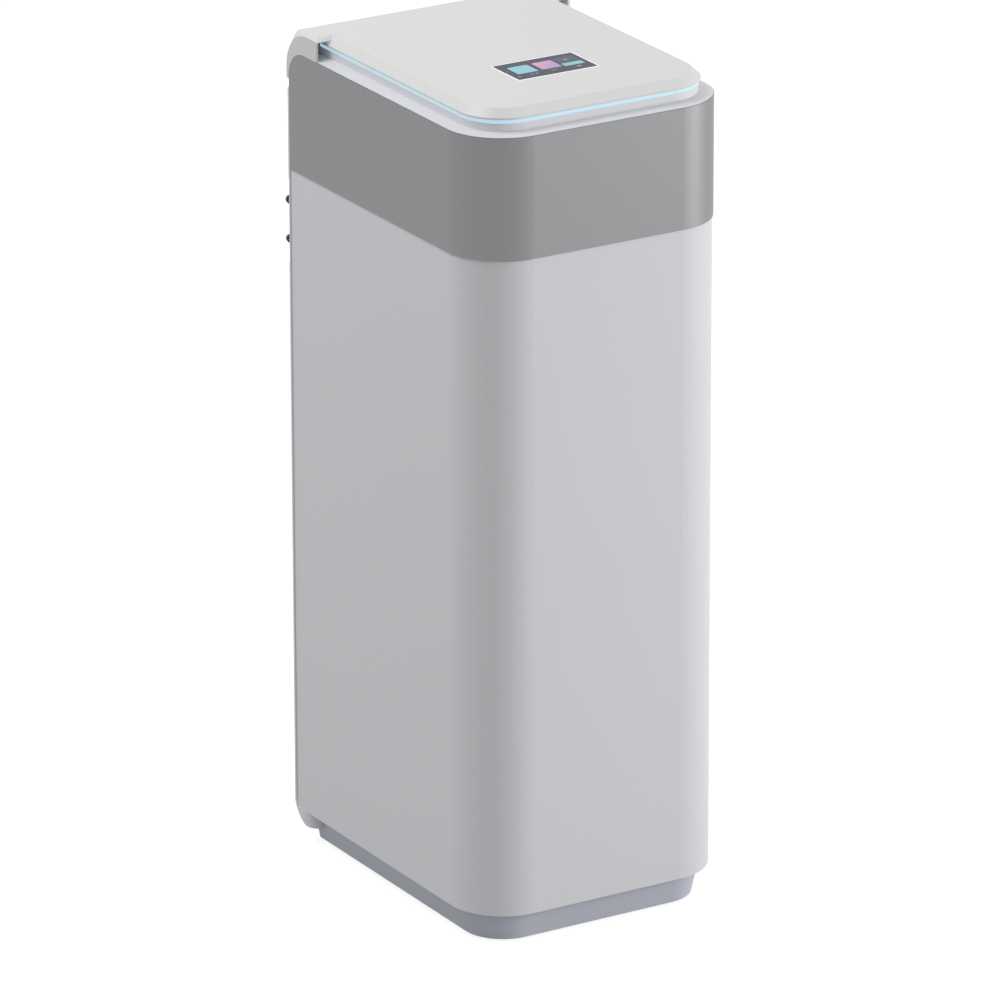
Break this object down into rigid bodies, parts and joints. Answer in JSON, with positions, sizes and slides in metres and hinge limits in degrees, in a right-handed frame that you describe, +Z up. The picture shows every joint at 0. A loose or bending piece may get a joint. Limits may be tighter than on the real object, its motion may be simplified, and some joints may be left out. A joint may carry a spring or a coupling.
{
  "type": "water softener",
  "caption": "Tall cabinet water softener with a hinged hood and flat display, silver band, recessed plinth, resin tank and motor valve inside, hose tails at the back.",
  "frame": {"origin": "on the floor, in the middle of the footprint with the rear hose tails counted in", "axes": "+X to the right seen from the front, +Y to the back where the connections are, +Z up"},
  "size_m": [0.346, 0.477, 1.0227],
  "materials": {
    "white_plastic": "fine satin moulded plastic",
    "lid_white": "smooth semi-gloss moulded plastic",
    "silver_band": "satin silver metallic lacquer",
    "plinth_grey": "fine matt moulded plastic",
    "cool_light": "frosted light guide",
    "display_dark": "polished dark glass",
    "rubber_black": "matt rubber",
    "black_plastic": "matt filled plastic",
    "inner_white": "plain moulded plastic",
    "tank_blue": "wound composite shell with a resin skin",
    "boot_black": "matt moulded plastic",
    "resin_amber": "bed of fine amber beads",
    "pipe_white": "plain plastic pipe",
    "strainer_grey": "slotted moulded plastic",
    "ceramic_white": "lapped ceramic",
    "gear_nylon": "natural nylon",
    "bright_steel": "bright steel",
    "stub_brass": "machined brass",
    "board_green": "solder mask",
    "float_red": "closed moulded float",
    "hose_black": "smooth flexible hose"
  },
  "bodies": {
    "cabinet": {"plinth_base": "plinth_grey", "rubber_feet": "rubber_black", "cabinet_body": "white_plastic", "top_band": "silver_band", "shoulder_frame": "white_plastic", "light_strip": "cool_light", "lid_bumpers": "rubber_black", "rear_cover": "white_plastic", "hinge_rail": "inner_white", "hinge_pins": "bright_steel", "tank_boot": "boot_black", "resin_tank": "tank_blue", "resin_bed": "resin_amber", "riser_tube": "pipe_white", "lower_strainer": "strainer_grey", "upper_strainer": "strainer_grey", "valve_body": "black_plastic", "fixed_disc": "ceramic_white", "valve_bonnet": "black_plastic", "gear_plate": "inner_white", "drive_motor": "bright_steel", "control_board": "board_green", "valve_cover": "black_plastic", "inlet_stub": "stub_brass", "outlet_stub": "stub_brass", "port_locknuts": "black_plastic", "turbine_carrier": "gear_nylon", "drain_fitting": "black_plastic", "overflow_fitting": "black_plastic", "fitting_nuts": "black_plastic", "power_socket": "black_plastic", "brine_well": "pipe_white", "float_valve": "strainer_grey", "pickup_pipe": "pipe_white", "air_check": "strainer_grey", "salt_grid": "pipe_white", "brine_hose": "hose_black", "drain_hose": "hose_black"},
    "lid": {"hood": "lid_white", "lid_lining": "inner_white", "display_lens": "display_dark", "display_module": "black_plastic"},
    "selector": {"main_gear": "gear_nylon", "moving_disc": "ceramic_white"},
    "idler": {"idler_gear": "gear_nylon"},
    "pinion": {"motor_pinion": "gear_nylon"},
    "meter_wheel": {"turbine_wheel": "gear_nylon"},
    "brine_float": {"brine_float": "float_red", "float_rod": "float_red"},
    "well_cap": {"well_cap": "pipe_white"}
  },
  "joints": [
    {"name": "lid_hinge", "type": "hinge", "parent": "cabinet", "child": "lid", "pos_m": [0, 0.1965, 0.952], "axis": [-1, 0, 0], "range_deg": [0, 90]},
    {"name": "selector_turn", "type": "hinge", "parent": "cabinet", "child": "selector", "pos_m": [0, 0.0573, 0.83], "axis": [0, 0, 1], "continuous": true},
    {"name": "idler_turn", "type": "hinge", "parent": "cabinet", "child": "idler", "pos_m": [0.045, 0.0573, 0.85], "axis": [0, 0, 1], "continuous": true},
    {"name": "pinion_turn", "type": "hinge", "parent": "cabinet", "child": "pinion", "pos_m": [0.069, 0.0573, 0.85], "axis": [0, 0, 1], "continuous": true},
    {"name": "meter_turn", "type": "hinge", "parent": "cabinet", "child": "meter_wheel", "pos_m": [0.045, 0.13, 0.7819], "axis": [0, 1, 0], "continuous": true},
    {"name": "float_rise", "type": "slide", "parent": "cabinet", "child": "brine_float", "axis": [0, 0, 1], "range_m": [0, 0.018]},
    {"name": "well_cap_lift", "type": "slide", "parent": "cabinet", "child": "well_cap", "axis": [0, 0, 1], "range_m": [0, 0.06]}
  ],
  "couplings": [
    {"joint": "idler_turn", "follows": "selector_turn", "ratio": -2},
    {"joint": "pinion_turn", "follows": "selector_turn", "ratio": 3.3333}
  ]
}
